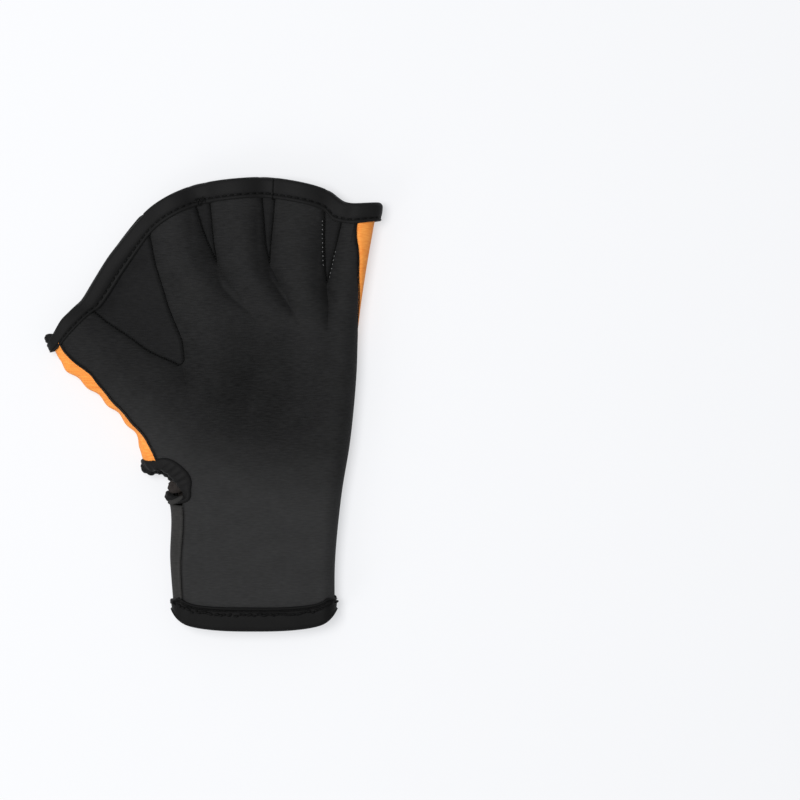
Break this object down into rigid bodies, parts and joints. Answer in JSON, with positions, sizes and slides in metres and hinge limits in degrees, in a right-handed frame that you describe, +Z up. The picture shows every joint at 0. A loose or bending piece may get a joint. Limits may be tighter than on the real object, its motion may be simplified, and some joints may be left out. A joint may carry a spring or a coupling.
{
  "type": "neoprene glove",
  "caption": "Left-hand webbed neoprene water glove, lying palm up, with open fingertips, gussets between the fingers, taped edges and a gathered keyhole at the wrist.",
  "frame": {"origin": "on the surface that the glove lies on, under the middle of its bounding box", "axes": "+Y to the fingertips, +X to the little finger side, +Z up, out of the palm"},
  "size_m": [0.1712, 0.2346, 0.0199],
  "materials": {
    "palm_neoprene": "matt black knit over neoprene",
    "back_neoprene": "matt orange knit over neoprene",
    "wrist_neoprene": "matt black knit over neoprene",
    "web_neoprene": "matt black knit over thin neoprene",
    "binding_tape": "smooth black elastic tape"
  },
  "bodies": {
    "root": {"palm_panel": "palm_neoprene", "back_panel": "back_neoprene", "wrist_panel": "wrist_neoprene", "thumb_web": "web_neoprene", "index_web": "web_neoprene", "middle_web": "web_neoprene", "ring_web": "web_neoprene", "finger_binding": "binding_tape", "cuff_binding": "binding_tape", "keyhole_binding": "binding_tape"}
  },
  "joints": []
}
